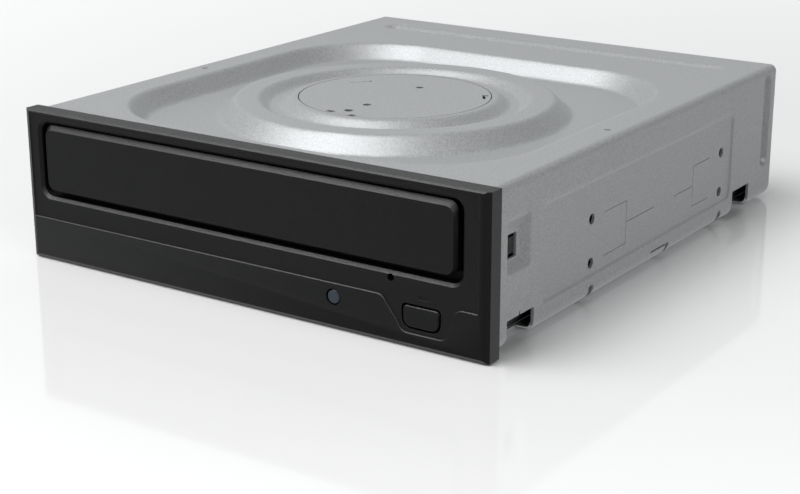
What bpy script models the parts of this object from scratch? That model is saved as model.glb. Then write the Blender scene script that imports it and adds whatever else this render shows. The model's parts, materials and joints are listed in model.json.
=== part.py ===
"""A half-height 5.25 inch optical disc drive, modelled as separate pieces.

Sizes are millimetres and become metres when a mesh is made.  x runs to the
right, d is the depth behind the plane where bezel and steel case meet, and z
is up from the surface that the drive stands on.
"""
import math

import bmesh
import bpy
from mathutils import Matrix, Vector

MM = 0.001
GAP = 0.3                       # clearance kept between two pieces that touch

# Steel case, to the half-height 5.25 inch drive standard
CASE_W, CASE_D, CASE_LOW, CASE_TOP = 146.0, 165.0, 0.35, 41.65
SHEET = 0.8
BEND_BOTTOM, BEND_TOP = 3.8, 2.0
FLANGE_IN = 66.5                # inner edge of the flange folded under each side
SIDE_HOLES_D = (47.4, 126.65)
SIDE_HOLES_Z = (10.35, 22.19)
M3_BORE = 1.25

# Front bezel and the tray's door
BEZEL_W, BEZEL_T, BEZEL_H = 148.2, 5.4, 42.0
BEZEL_WALL = 2.4
DOOR_POCKET = (-68.8, 66.5, 18.15, 38.85)
TRAY_MOUTH = (-66.6, 65.0, 20.6, 36.6)
DOOR = (-67.2, 64.8, 20.05, 38.35)
BUTTON_HOLE = (49.7, 60.8, 4.65, 10.75)
BUTTON_FRONT = (50.2, 60.3, 5.15, 10.25)
LED_X, LED_Z, LED_R = 29.5, 8.25, 1.8
PINHOLE_X, PINHOLE_Z = 46.5, 16.55

# Pressed pocket in the case's top, and the round clamp plate in its middle
SPINDLE_D = 65.0
POCKET_X, POCKET_D, POCKET_R, POCKET_DEEP, POCKET_RUN = 62.5, (3.3, 128.2), 33.0, 4.8, 4.6
CLAMP_PLATE_R = 27.0
RIB_X, RIB_D, RIB_WIDE, RIB_DEEP = 61.0, 150.0, 5.4, 0.45

# Tray, its guides and its rack
TRAY_X, TRAY_D, TRAY_Z = 63.5, (-1.9, 157.0), (26.3, 29.8)
RAIL_Z = (24.0, 31.0)
WALL_IN, WALL_OUT = 63.9, 68.2
DISC_R, SMALL_DISC_R = 60.3, 40.3
SLOT_HALF, SLOT_END = 26.0, 131.0

# Loading train: rack, drive gear, pulley gear, belt, motor
PRESSURE = math.radians(25.0)
TOOTH_SLACK = 0.12
DRIVE_X, DRIVE_D = -43.25, 20.0
PINION_M, PINION_TEETH = 1.0, 20
WHEEL_M, WHEEL_TEETH, PULLEY_TEETH = 0.8, 36, 12
PULLEY_X = DRIVE_X + WHEEL_M * (WHEEL_TEETH + PULLEY_TEETH) / 2
PULLEY_R, MOTOR_PULLEY_R, MOTOR_X = 11.0, 3.0, 8.0
RACK_X = DRIVE_X - PINION_M * PINION_TEETH / 2
DECK_Z = (13.6, 15.6)

# Traverse: drawn level, as it plays a disc, then swung down about its rear pivot
PIVOT_D, PIVOT_Z = 152.0, 17.0
TILT = math.radians(4.7)
FRAME_X, FRAME_D, FRAME_Z = (-40.0, 46.0), (46.0, 155.0), (15.0, 21.0)
WELL_X, WELL_D = 32.4, (80.9, 147.8)
ROD_X, ROD_Z, ROD_R = 28.0, 18.8, 1.5
SCREW_X, SCREW_Z, SCREW_R = 38.0, 18.6, 1.6
LENS_D = 88.5                   # innermost track, 23.5 mm from the spindle
CAM_PIN_X, CAM_PIN_R, CAM_TRAVEL = 18.0, 1.2, 18.0
CAM_D = (41.2, 43.7)
SEAT_Z = 30.0                   # underside of a disc while it plays


def spot(x, d, z):
    """World position, in metres, of a point given in drive millimetres."""
    return Vector((x, d - (CASE_D - BEZEL_T) / 2, z)) * MM


def middle(span):
    return (span[0] + span[1]) / 2


# ---------------------------------------------------------------- materials

LOOKS = {                       # colour, roughness, metallic
    "zinc_steel": ((0.42, 0.43, 0.44), 0.45, 0.9),
    "bright_steel": ((0.62, 0.62, 0.63), 0.22, 1.0),
    "black_abs": ((0.014, 0.014, 0.016), 0.5, 0.0),
    "dark_abs": ((0.03, 0.03, 0.034), 0.45, 0.0),
    "white_pom": ((0.72, 0.71, 0.67), 0.35, 0.0),
    "rubber": ((0.015, 0.015, 0.015), 0.8, 0.0),
    "board_green": ((0.02, 0.12, 0.05), 0.4, 0.0),
    "chip_black": ((0.01, 0.01, 0.012), 0.35, 0.0),
    "lens_blue": ((0.3, 0.36, 0.45), 0.08, 0.0),
    "magnet": ((0.16, 0.16, 0.17), 0.4, 0.8),
}


def look_material(key):
    material = bpy.data.materials.get(key)
    if material:
        return material
    colour, roughness, metallic = LOOKS[key]
    material = bpy.data.materials.new(key)
    material.use_nodes = True
    shader = material.node_tree.nodes["Principled BSDF"]
    shader.inputs["Base Color"].default_value = (*colour, 1.0)
    shader.inputs["Roughness"].default_value = roughness
    shader.inputs["Metallic"].default_value = metallic
    return material


# ------------------------------------------------------------ shape helpers

def add_object(name, mesh, where, look):
    """Link a mesh as a part when it has a look, and as a cutter when it has none."""
    obj = bpy.data.objects.new(name, mesh)
    obj.location = where
    if look:
        mesh.materials.append(look_material(look))
        PARTS.objects.link(obj)
    else:
        obj.hide_render = True
        obj.display_type = "WIRE"
        CUTTERS.objects.link(obj)
    return obj


def from_bmesh(name, bm, where, look, smooth=False):
    mesh = bpy.data.meshes.new(name)
    bm.to_mesh(mesh)
    bm.free()
    if smooth:
        mesh.shade_smooth()
        mesh.set_sharp_from_angle(angle=math.radians(35))
    return add_object(name, mesh, where, look)


def box(name, x, d, z, look=None):
    bm = bmesh.new()
    bmesh.ops.create_cube(bm, size=1.0)
    size = Vector((x[1] - x[0], d[1] - d[0], z[1] - z[0])) * MM
    bmesh.ops.scale(bm, vec=size, verts=bm.verts)
    return from_bmesh(name, bm, spot(middle(x), middle(d), middle(z)), look)


AXES = {
    "X": Matrix(((0, 0, 1), (1, 0, 0), (0, 1, 0))).to_4x4(),
    "Y": Matrix(((1, 0, 0), (0, 0, -1), (0, 1, 0))).to_4x4(),
    "Z": Matrix.Identity(4),
}


def rod(name, centre, radius, length, axis="Z", look=None, sides=24, end_radius=None):
    """A cylinder, or a cone when end_radius differs, about a point."""
    bm = bmesh.new()
    bmesh.ops.create_cone(bm, cap_ends=True, segments=sides, depth=length * MM, radius1=radius * MM,
                          radius2=(radius if end_radius is None else end_radius) * MM)
    bmesh.ops.transform(bm, matrix=AXES[axis], verts=bm.verts)
    return from_bmesh(name, bm, spot(*centre), look, smooth=True)


def turned(name, x, d, profile, look=None, steps=28):
    """A ring or disc about a vertical axis.  The (r, z) profile runs down its outer side."""
    closed = min(r for r, z in profile) > 0
    mesh = bpy.data.meshes.new(name)
    count = len(profile)
    edges = [(i, (i + 1) % count) for i in range(count if closed else count - 1)]
    mesh.from_pydata([(r * MM, 0.0, z * MM) for r, z in profile], edges, [])
    obj = add_object(name, mesh, spot(x, d, 0), look)
    screw = obj.modifiers.new("Turn", "SCREW")
    screw.steps = steps
    screw.render_steps = steps
    screw.use_merge_vertices = True
    screw.merge_threshold = 0.00001
    screw.use_smooth_shade = False
    return obj


def slab(name, outline, span, axis="Z", look=None, holes=()):
    """A flat outline with holes, extruded over a span along an axis.

    The outline is (x, d) along Z, (x, z) along Y and (d, z) along X.
    """
    curve = bpy.data.curves.new(name, "CURVE")
    curve.dimensions = "2D"
    curve.fill_mode = "BOTH"
    curve.extrude = (span[1] - span[0]) / 2 * MM
    for loop in (outline, *holes):
        spline = curve.splines.new("POLY")
        spline.points.add(len(loop) - 1)
        for point, (a, b) in zip(spline.points, loop):
            point.co = (a * MM, b * MM, 0, 1)
        spline.use_cyclic_u = True
    drawn = bpy.data.objects.new(name, curve)
    CUTTERS.objects.link(drawn)
    bpy.context.view_layer.update()
    mesh = bpy.data.meshes.new_from_object(drawn.evaluated_get(bpy.context.evaluated_depsgraph_get()))
    bpy.data.objects.remove(drawn)
    bm = bmesh.new()
    bm.from_mesh(mesh)
    bmesh.ops.remove_doubles(bm, verts=bm.verts, dist=0.000001)
    bmesh.ops.transform(bm, matrix=AXES[axis], verts=bm.verts)
    bmesh.ops.recalc_face_normals(bm, faces=bm.faces)
    where = {"Z": (0, 0, middle(span)), "Y": (0, middle(span), 0), "X": (middle(span), 0, 0)}[axis]
    return from_bmesh(name, bm, spot(*where), look)


def round_rect(a, b, radius, steps=4):
    """Rounded rectangle through a = (low, high) and b = (low, high)."""
    points = []
    corners = ((a[1], b[1], 0), (a[0], b[1], 90), (a[0], b[0], 180), (a[1], b[0], 270))
    for u, v, start in corners:
        cu = u - math.copysign(radius, u - middle(a))
        cv = v - math.copysign(radius, v - middle(b))
        for i in range(steps + 1):
            angle = math.radians(start + 90 * i / steps)
            points.append((cu + radius * math.cos(angle), cv + radius * math.sin(angle)))
    return points


def circle(u, v, radius, steps=20):
    return [(u + radius * math.cos(math.tau * i / steps), v + radius * math.sin(math.tau * i / steps))
            for i in range(steps)]


def frustum(name, x, d, radius, z_low, z_high, run, look=None):
    """A rounded block that widens upwards: its foot is smaller all round by run."""
    bm = bmesh.new()
    rings = []
    for z, inset in ((z_low, run), (z_high, 0.0)):
        loop = round_rect((x[0] + inset, x[1] - inset), (d[0] + inset, d[1] - inset), radius - inset, 5)
        rings.append([bm.verts.new(spot(a, b, z)) for a, b in loop])
    low, high = rings
    count = len(low)
    for i in range(count):
        j = (i + 1) % count
        bm.faces.new((low[i], low[j], high[j], high[i]))
    bm.faces.new(list(reversed(low)))
    bm.faces.new(high)
    return from_bmesh(name, bm, Vector(), look)


def combine(target, operation, tools):
    for tool in tools:
        modifier = target.modifiers.new(tool.name, "BOOLEAN")
        modifier.operation = operation
        modifier.solver = "EXACT"
        modifier.object = tool
    return target


def cut(target, *tools):
    return combine(target, "DIFFERENCE", tools)


def weld(target, *tools):
    return combine(target, "UNION", tools)


def bevel(obj, width, segments=1, angle=40):
    modifier = obj.modifiers.new("Edge", "BEVEL")
    modifier.width = width * MM
    modifier.segments = segments
    modifier.limit_method = "ANGLE"
    modifier.angle_limit = math.radians(angle)
    return obj


def pivot(name, where, parent=None):
    """An empty on a joint.  ORIGINS keeps where each one stands before any tilt."""
    empty = bpy.data.objects.new(name, None)
    empty.empty_display_size = 0.01
    empty.location = where
    ORIGINS[name] = where
    if parent:
        empty.parent = parent
        empty.location = where - ORIGINS[parent.name]
    PARTS.objects.link(empty)
    return empty


def hang(empty, *objects):
    """Parent pieces, with the tools of their Booleans, to the empty on their joint."""
    for obj in objects:
        tools = [modifier.object for modifier in obj.modifiers if modifier.type == "BOOLEAN"]
        for member in (obj, *tools):
            member.parent = empty
            member.location = member.location - ORIGINS[empty.name]


def gear_outline(x, d, module, teeth, turn=0.0):
    """Involute teeth, thinned by TOOTH_SLACK, with a tooth on +x at turn 0."""
    pitch = module * teeth / 2
    base = pitch * math.cos(PRESSURE)
    root, tip = pitch - 1.2 * module, pitch + 0.9 * module
    half = math.pi / (2 * teeth) - TOOTH_SLACK / (2 * pitch)

    def lean(radius):
        roll = math.acos(min(1.0, base / radius))
        return half + (math.tan(PRESSURE) - PRESSURE) - (math.tan(roll) - roll)

    start = max(base, root)
    flank = [start + (tip - start) * i / 2 for i in range(3)]
    tooth = [(radius, -lean(radius)) for radius in flank]
    tooth += [(radius, lean(radius)) for radius in reversed(flank)]
    if root < base:
        tooth = [(root, -lean(base))] + tooth + [(root, lean(base))]
    points = []
    for k in range(teeth):
        centre = turn + math.tau * k / teeth
        points += [(x + r * math.cos(centre + a), d + r * math.sin(centre + a)) for r, a in tooth]
    return points


def rack_outline(d_first, d_last):
    """Straight-sided teeth facing +x, with a space at the drive gear's centre line."""
    pitch = math.pi * PINION_M
    half = pitch / 4 - TOOTH_SLACK / 2
    tip, root = RACK_X + 0.9 * PINION_M, RACK_X - 1.2 * PINION_M
    tip_half = half - (tip - RACK_X) * math.tan(PRESSURE)
    root_half = half + (RACK_X - root) * math.tan(PRESSURE)
    points = [(root, d_first)]
    centre = DRIVE_D + pitch / 2
    while centre + root_half < d_last:
        for x, shift in ((root, -root_half), (tip, -tip_half), (tip, tip_half), (root, root_half)):
            points.append((x, centre + shift))
        centre += pitch
    return points + [(root, d_last), (root - 3.0, d_last), (root - 3.0, d_first)]


def belt_loop(offset):
    """Outline round both pulleys, offset outwards from their rims."""
    large, small = PULLEY_R + offset, MOTOR_PULLEY_R + offset
    lean = math.acos((large - small) / (MOTOR_X - PULLEY_X))
    points = []
    for x, radius, start, end in ((PULLEY_X, large, lean, math.tau - lean), (MOTOR_X, small, -lean, lean)):
        steps = 24 if radius == large else 10
        for i in range(steps + 1):
            angle = start + (end - start) * i / steps
            points.append((x + radius * math.cos(angle), DRIVE_D + radius * math.sin(angle)))
    return points


def arc(u, v, radius, start, end, steps):
    return [(u + radius * math.cos(math.radians(start + (end - start) * i / steps)),
             v + radius * math.sin(math.radians(start + (end - start) * i / steps)))
            for i in range(steps + 1)]


# ------------------------------------------------------------- steel casing

def channel_outline():
    """Section of the wrapped steel sheet: top, two sides, and a flange under each side."""
    half = CASE_W / 2

    def right_side(inset):
        low = arc(half - BEND_BOTTOM, CASE_LOW + BEND_BOTTOM, BEND_BOTTOM - inset, -90, 0, 5)
        top = arc(half - BEND_TOP, CASE_TOP - BEND_TOP, BEND_TOP - inset, 0, 90, 3)
        return [(FLANGE_IN, CASE_LOW + inset)] + low + top

    def mirrored(points):
        return [(-x, z) for x, z in points]

    outer, inner = right_side(0.0), right_side(SHEET)
    return outer + mirrored(reversed(outer)) + mirrored(inner) + list(reversed(inner))


def make_top_cover():
    half = CASE_W / 2
    cover = slab("top_cover", channel_outline(), (0.15, CASE_D), "Y", "zinc_steel")
    rear_outline = round_rect((-72.6, 72.6), (1.0, 41.25), 3.4)
    weld(cover, slab("rear_wall", rear_outline, (CASE_D - 0.9, CASE_D - 0.1), "Y"))

    slope = POCKET_RUN / POCKET_DEEP
    floor = CASE_TOP - POCKET_DEEP
    wall = SHEET * math.hypot(1, slope)
    top_side = wall - 0.45 * slope
    weld(cover, frustum("pocket_block", (-POCKET_X - top_side, POCKET_X + top_side),
                        (POCKET_D[0] - top_side, POCKET_D[1] + top_side), POCKET_R + top_side,
                        floor - SHEET, CASE_TOP - 0.45, (POCKET_DEEP - 0.45 + SHEET) * slope))
    over = 0.3 * slope
    cut(cover, frustum("pocket_hollow", (-POCKET_X - over, POCKET_X + over),
                       (POCKET_D[0] - over, POCKET_D[1] + over), POCKET_R + over,
                       floor, CASE_TOP + 0.3, POCKET_RUN + over),
        rod("ring_hole", (0, SPINDLE_D, floor), 49.6, 4.0, sides=48))
    ring = [(27.3, 41.65), (28.9, 41.65), (32.3, 39.4), (35.3, 39.4), (38.3, 41.5), (44.9, 41.5),
            (49.5, 36.7), (50.6, 36.7), (50.6, 36.2), (48.8, 36.2), (44.5, 40.7), (38.6, 40.7),
            (35.6, 38.6), (31.6, 38.6), (29.9, 39.7), (24.6, 39.7), (24.6, 40.45), (27.3, 40.45)]
    weld(cover, turned("raised_ring", 0, SPINDLE_D, ring, steps=40))
    cut(cover, box("rear_groove", (-RIB_X, RIB_X), (RIB_D - RIB_WIDE / 2, RIB_D + RIB_WIDE / 2),
                   (CASE_TOP - RIB_DEEP, CASE_TOP + 1)))

    for side, name in ((1, "right"), (-1, "left")):
        def across(low, high, side=side):
            return (side * low, side * high) if side > 0 else (side * high, side * low)

        weld(cover, box(f"latch_cup_{name}", across(70.2, half - 0.4), (4.2, 15.8), (18.3, 33.1)))
        cut(cover,
            box(f"latch_hollow_{name}", across(71.0, half + 1), (5.0, 15.0), (19.1, 32.3)),
            box(f"latch_slot_{name}", across(69.0, half), (7.4, 11.7), (22.0, 28.1)),
            slab(f"side_panel_{name}", round_rect((21.8, 133.4), (7.15, 32.35), 2.0),
                 across(half - 0.35, half + 1), "X"),
            slab(f"side_groove_{name}", round_rect((156.4, 160.4), (11.4, 39.3), 1.9),
                 across(half - 0.35, half + 1), "X"),
            box(f"front_notch_{name}", across(67.0, half + 1), (5.0, 17.7), (-1, 7.65)),
            box(f"rear_notch_{name}", across(67.0, half + 1), (135.7, 147.6), (-1, 8.25)))
        for d in SIDE_HOLES_D:
            cut(cover, rod(f"bottom_bore_{name}_{d:.0f}", (side * 69.85, d, 1.8), M3_BORE, 5.6, sides=12))
    for d in SIDE_HOLES_D:
        for z in SIDE_HOLES_Z:
            cut(cover, rod(f"side_bore_{d:.0f}_{z:.0f}", (0, d, z), M3_BORE, CASE_W + 4, "X", sides=14))
    cut(cover, box("connector_window", (-60.6, -17.4), (CASE_D - 2, CASE_D + 1), (4.3, 15.1)))
    for i in range(6):
        x = 6 + 9 * i
        cut(cover, box(f"vent_{i}", (x, x + 6), (CASE_D - 2, CASE_D + 1), (8, 10)))
    return cover


COVER_SCREWS = ((-62.0, 10.0), (62.0, 10.0), (-62.0, 150.0), (62.0, 150.0))


def make_bottom_cover():
    half = FLANGE_IN - GAP
    cover = box("bottom_cover", (-half, half), (0.3, CASE_D - 1.2), (CASE_LOW, CASE_LOW + SHEET),
                "zinc_steel")
    for i, (x, d) in enumerate(COVER_SCREWS, 1):
        weld(cover, rod(f"dimple_{i}", (x, d, 1.7), 4.1, 1.8, sides=14))
        cut(cover, rod(f"dimple_hollow_{i}", (x, d, 0.3), 3.2, 3.0, sides=14),
            rod(f"dimple_hole_{i}", (x, d, 2.0), 1.7, 4.0, sides=10))
    return cover


def make_cover_screws():
    """Pan screws from below, sunk in the bottom cover's dimples."""
    profile = [(0, 8.5), (1.3, 8.5), (1.3, 1.5), (2.6, 1.5), (2.6, 0.7), (1.1, 0.7), (0.9, 1.1), (0, 1.1)]
    return [turned(f"cover_screw_{i}", x, d, profile, "bright_steel", steps=12)
            for i, (x, d) in enumerate(COVER_SCREWS, 1)]


def make_clamp():
    """The round plate in the casing's top, the cup under it, and the clamper that spins in the cup."""
    holes = [circle(0, SPINDLE_D + d, 1.3, 10) for d in (-21.5, -13.0, 12.8)]
    holes += [circle(x, SPINDLE_D + d, 1.0, 8) for x, d in ((-21.0, 13.0), (19.5, 13.0))]
    plate = slab("clamp_plate", circle(0, SPINDLE_D, CLAMP_PLATE_R, 40), (40.75, CASE_TOP), "Z",
                 "zinc_steel", holes)
    cup = turned("clamp_holder", 0, SPINDLE_D,
                 [(18.0, 40.45), (24.2, 40.45), (24.2, 39.5), (18.9, 39.5), (18.9, 34.0), (13.8, 34.0),
                  (13.8, 35.0), (18.0, 35.0)], "dark_abs")
    hub_cup = turned("clamper", 0, SPINDLE_D,
                     [(0, 35.6), (9.0, 35.6), (9.0, 37.4), (16.2, 37.4), (16.6, 37.0), (16.6, 35.4),
                      (13.2, 35.4), (13.2, 32.0), (12.8, 31.6), (8.0, 31.6), (8.0, 34.0), (0, 34.0)],
                     "white_pom")
    disc = turned("clamper_disc", 0, SPINDLE_D, [(0, 37.4), (8.6, 37.4), (8.6, 35.9), (0, 35.9)],
                  "bright_steel")
    return plate, cup, hub_cup, disc


# ------------------------------------------------------------- plastic front

def make_bezel():
    half = BEZEL_W / 2
    x0, x1, z0, z1 = DOOR_POCKET
    bezel = bevel(box("front_bezel", (-half, half), (-BEZEL_T, -0.15), (0, BEZEL_H), "black_abs"), 0.6)
    hollow_d = (BEZEL_WALL - BEZEL_T, 1.0)
    cut(bezel,
        slab("door_pocket", round_rect((x0, x1), (z0, z1), 2.8), (-BEZEL_T - 1, -1.6), "Y"),
        box("tray_mouth", TRAY_MOUTH[:2], (-3, 1), TRAY_MOUTH[2:]),
        box("lower_hollow", (-72.2, 72.2), hollow_d, (1.7, 16.9)),
        slab("button_hole", round_rect(BUTTON_HOLE[:2], BUTTON_HOLE[2:], 0.9, 3), (-BEZEL_T - 1, 0), "Y"),
        rod("led_hole", (LED_X, -4, LED_Z), LED_R + GAP, 5.0, "Y", sides=20),
        rod("release_hole", (PINHOLE_X, -4, PINHOLE_Z), 0.8, 5.0, "Y", sides=12))
    for side, name in ((1, "right"), (-1, "left")):
        tab_x = sorted((side * 68.6, side * 69.8))
        hook_x = sorted((side * 69.5, side * 70.8))
        weld(bezel, box(f"snap_arm_{name}", tab_x, (-1.0, 12.6), (22.8, 27.2)),
             box(f"snap_hook_{name}", hook_x, (8.0, 11.1), (22.9, 27.1)))
    return bezel


def make_door():
    x0, x1, z0, z1 = DOOR
    door = slab("tray_door", round_rect((x0, x1), (z0, z1), 2.0), (-BEZEL_T + 0.1, -2.0), "Y", "black_abs")
    bevel(door, 0.5)
    for x in (-37.0, 37.0):
        weld(door, box(f"door_hook_{x:.0f}", (x - 3, x + 3), (-2.6, 7.5), (24.6, 25.9)),
             box(f"door_root_{x:.0f}", (x - 3, x + 3), (-2.6, -1.9), (22.0, 25.5)))
    return door


def make_button():
    x0, x1, z0, z1 = BUTTON_FRONT
    button = slab("eject_button", round_rect((x0, x1), (z0, z1), 0.7, 3), (-BEZEL_T, -2.2), "Y", "black_abs")
    bevel(button, 0.3)
    weld(button, box("button_flange", (x0 - 0.9, x1 + 0.9), (-2.6, -1.6), (z0 - 0.9, z1 + 0.9)),
         box("button_stem", (53.4, 57.0), (-1.9, 2.2), (6.4, 9.0)))
    return button


def make_light_pipe():
    return rod("led_lens", (LED_X, -3.35, LED_Z), LED_R, 4.0, "Y", "lens_blue", sides=20)


# ---------------------------------------------------------------- main frame

BLOCKS_X = (-46.2, 52.2)        # centres of the two bearing blocks on the traverse's pivot
BLOCK_HALF = 2.8
BUSH_R = (2.3, 3.4)
MOTOR_Z = (1.8, 13.3)


def make_main_frame():
    frame = box("main_frame", (-65, 65), (1.5, 40), DECK_Z, "dark_abs")
    for side, name in ((1, "right"), (-1, "left")):
        wall_x = sorted((side * WALL_IN, side * WALL_OUT))
        ledge_x = sorted((side * 60.6, side * 65.0))
        weld(frame, box(f"wall_{name}", wall_x, (1.7, 161), (3.2, 32.8)),
             box(f"ledge_{name}", ledge_x, (2.0, 160.5), (20.0, 23.6)))
        wall_reach = side * 65.5
        block = BLOCKS_X[0] if side < 0 else BLOCKS_X[1]
        weld(frame, box(f"arm_{name}", sorted((wall_reach, block)), (149, 155), (15.2, 19.5)))
        weld(frame, box(f"block_{name}", (block - BLOCK_HALF, block + BLOCK_HALF), (147.0, 156.2),
                        (12.6, 21.2)))
    weld(frame, box("rear_bar", (-65, 65), (157.6, 160.8), (16, 19.8)),
         box("cam_fence", (-46, 26), (39.0, 40.9), (6.0, 15.0)))
    for i, (x, d) in enumerate(COVER_SCREWS, 1):
        weld(frame, rod(f"boss_{i}", (x, d, 8.6), 3.2, 11.2, sides=16))
    for x in BLOCKS_X:
        cut(frame, rod(f"bush_seat_{x:.0f}", (x, PIVOT_D, PIVOT_Z), BUSH_R[1] + 0.25, 7.0, "X", sides=24))
    for i, (x, d) in enumerate(COVER_SCREWS, 1):
        cut(frame, rod(f"boss_bore_{i}", (x, d, 6.0), 1.6, 6.6, sides=12))
    cut(frame, rod("motor_hole", (MOTOR_X, DRIVE_D, 14.6), 4.0, 4.0, sides=24))
    weld(frame, rod("drive_post", (DRIVE_X, DRIVE_D, 19.9), 1.6, 9.8, sides=16),
         rod("pulley_post", (PULLEY_X, DRIVE_D, 17.9), 1.6, 5.8, sides=16))
    return frame


def make_bushes():
    inner, outer = BUSH_R
    bushes = []
    for x, name in zip(BLOCKS_X, ("pivot_bush_left", "pivot_bush_right")):
        bush = rod(name, (x, PIVOT_D, PIVOT_Z), outer, 5.0, "X", "rubber", sides=16)
        cut(bush, rod(f"{name}_bore", (x, PIVOT_D, PIVOT_Z), inner, 7.0, "X", sides=16))
        bushes.append(bush)
    return bushes


# ---------------------------------------------------------------------- tray

def make_tray():
    half = TRAY_X - 0.3
    slot = arc(0, SPINDLE_D, SLOT_HALF, 180, 360, 16) + arc(SLOT_HALF - 4, SLOT_END - 4, 4, 0, 90, 3)
    slot += arc(-SLOT_HALF + 4, SLOT_END - 4, 4, 90, 180, 3)
    tray = slab("tray", round_rect((-half, half), TRAY_D, 2.0), TRAY_Z, "Z", "black_abs", [slot])
    cut(tray, rod("disc_recess", (0, SPINDLE_D, TRAY_Z[1] + 0.2), DISC_R, 4.0, sides=72),
        rod("small_disc_recess", (0, SPINDLE_D, TRAY_Z[1] - 0.5), SMALL_DISC_R, 4.0, sides=56))
    for side, name in ((1, "right"), (-1, "left")):
        rail_x = sorted((side * 61.0, side * TRAY_X))
        weld(tray, box(f"rail_{name}", rail_x, (TRAY_D[0] + 0.4, TRAY_D[1] - 0.4), RAIL_Z))
    weld(tray, slab("tray_rack", rack_outline(17.0, TRAY_D[1] - 0.6), (21.4, TRAY_Z[0] + 0.4), "Z"))
    return tray


# ------------------------------------------------------------- loading train

GEAR_BORE = 1.9


def make_loading_train():
    drive = slab("drive_gear", gear_outline(DRIVE_X, DRIVE_D, PINION_M, PINION_TEETH), (20.6, 25.2), "Z",
                 "white_pom", [circle(DRIVE_X, DRIVE_D, GEAR_BORE, 16)])
    weld(drive, slab("drive_wheel", gear_outline(DRIVE_X, DRIVE_D, WHEEL_M, WHEEL_TEETH), (19.0, 20.8), "Z",
                     None, [circle(DRIVE_X, DRIVE_D, GEAR_BORE + 1.0, 16)]))
    half_tooth = math.pi / PULLEY_TEETH
    pulley = slab("pulley_gear", gear_outline(PULLEY_X, DRIVE_D, WHEEL_M, PULLEY_TEETH, half_tooth),
                  (18.4, 21.0), "Z", "white_pom", [circle(PULLEY_X, DRIVE_D, GEAR_BORE, 16)])
    weld(pulley, slab("pulley_rim", circle(PULLEY_X, DRIVE_D, PULLEY_R, 40), (16.0, 18.6), "Z", None,
                      [circle(PULLEY_X, DRIVE_D, GEAR_BORE + 0.8, 16)]))
    small = turned("motor_pulley", MOTOR_X, DRIVE_D,
                   [(1.3, 18.9), (3.8, 18.9), (3.8, 18.6), (3.0, 18.4), (3.0, 16.5), (3.8, 16.3), (3.8, 16.0),
                    (1.3, 16.0)], "white_pom", steps=18)
    belt = slab("drive_belt", belt_loop(1.5), (16.8, 18.1), "Z", "rubber", [belt_loop(0.3)])
    motor = turned("loading_motor", MOTOR_X, DRIVE_D,
                   [(0, 19.3), (1.0, 19.3), (1.0, MOTOR_Z[1]), (11.4, MOTOR_Z[1]), (12.0, 12.7),
                    (12.0, MOTOR_Z[0]), (0, MOTOR_Z[0])], "bright_steel")
    return drive, pulley, small, belt, motor


def cam_pin_rest():
    """Height of the traverse's lifting pins at rest and when it is level."""
    rise = 18.5 - PIVOT_Z
    reach = PIVOT_D - middle(CAM_D)
    return PIVOT_Z + rise * math.cos(TILT) - reach * math.sin(TILT), PIVOT_Z + rise


def make_cam_slider():
    """Sliding plate whose two slanted slots lift the front of the traverse."""
    low, high = cam_pin_rest()
    slope = math.atan2(high - low, -CAM_TRAVEL)
    slope_deg = math.degrees(slope)
    half = CAM_PIN_R + GAP
    slots = []
    for x in (-CAM_PIN_X, CAM_PIN_X):
        foot = (x, low)
        head = (x - CAM_TRAVEL, high)
        slots.append(arc(*foot, half, slope_deg + 90, slope_deg + 270, 8)
                     + arc(*head, half, slope_deg - 90, slope_deg + 90, 8))
    outline = round_rect((-40.5, 22.5), (5.6, 22.4), 1.5, 3)
    return slab("cam_slider", outline, CAM_D, "Y", "white_pom", slots)


# ------------------------------------------------------------------ traverse

def make_traverse_frame():
    frame = bevel(box("traverse_frame", FRAME_X, FRAME_D, FRAME_Z, "dark_abs"), 0.8)
    cut(frame,
        box("well", (-WELL_X, WELL_X), WELL_D, (10, 25)),
        box("screw_trench", (WELL_X - 1, 42.0), (WELL_D[0] + 2, WELL_D[1]), (10, 25)),
        box("motor_pocket", (32.6, 43.4), (59.7, WELL_D[0] + 2.5), (10, 25)),
        rod("spindle_hole", (0, SPINDLE_D, 18), 13.2, 10.0, sides=40),
        box("screw_notch", (SCREW_X - 2.0, SCREW_X + 2.0), (WELL_D[1] - 1, 151.0), (16.4, 25)))
    for x in (-ROD_X, ROD_X):
        cut(frame, rod(f"rod_seat_{x:.0f}", (x, 114.2, ROD_Z), ROD_R + GAP, 74.4, "Y", sides=16))
    for x, name in ((-43.3, "left"), (49.2, "right")):
        weld(frame, rod(f"pivot_pin_{name}", (x, PIVOT_D, PIVOT_Z), 2.0, 7.6, "X", sides=20))
    for x in (-CAM_PIN_X, CAM_PIN_X):
        weld(frame, rod(f"cam_pin_{x:.0f}", (x, 43.95, 18.5), CAM_PIN_R, 5.7, "Y", sides=16))
    return frame


def make_traverse_fittings():
    base = turned("spindle_base", 0, SPINDLE_D,
                  [(0, 17.6), (11.5, 17.6), (11.5, 14.7), (19.0, 14.7), (19.0, 13.4), (0, 13.4)],
                  "bright_steel")
    rods = [rod(name, (x, 114.2, ROD_Z), ROD_R, 73.4, "Y", "bright_steel", sides=16)
            for x, name in ((-ROD_X, "main_rod"), (ROD_X, "sub_rod"))]
    motor = rod("feed_motor", (SCREW_X, 69.9, SCREW_Z), 5.0, 19.6, "Y", "bright_steel", sides=24)
    return [base, *rods, motor]


def make_turntable():
    table = turned("turntable", 0, SPINDLE_D,
                   [(0, 29.0), (15.0, 29.0), (15.4, 28.6), (15.4, 27.4), (12.4, 27.4), (12.4, 18.0),
                    (0, 18.0)],
                   "dark_abs")
    pad = turned("turntable_pad", 0, SPINDLE_D, [(10.6, SEAT_Z), (15.0, SEAT_Z), (15.0, 29.3), (10.6, 29.3)],
                 "rubber")
    hub = turned("disc_hub", 0, SPINDLE_D, [(0, 32.2), (5.6, 32.2), (7.3, 30.4), (7.3, 29.3), (0, 29.3)],
                 "white_pom")
    return table, pad, hub


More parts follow.
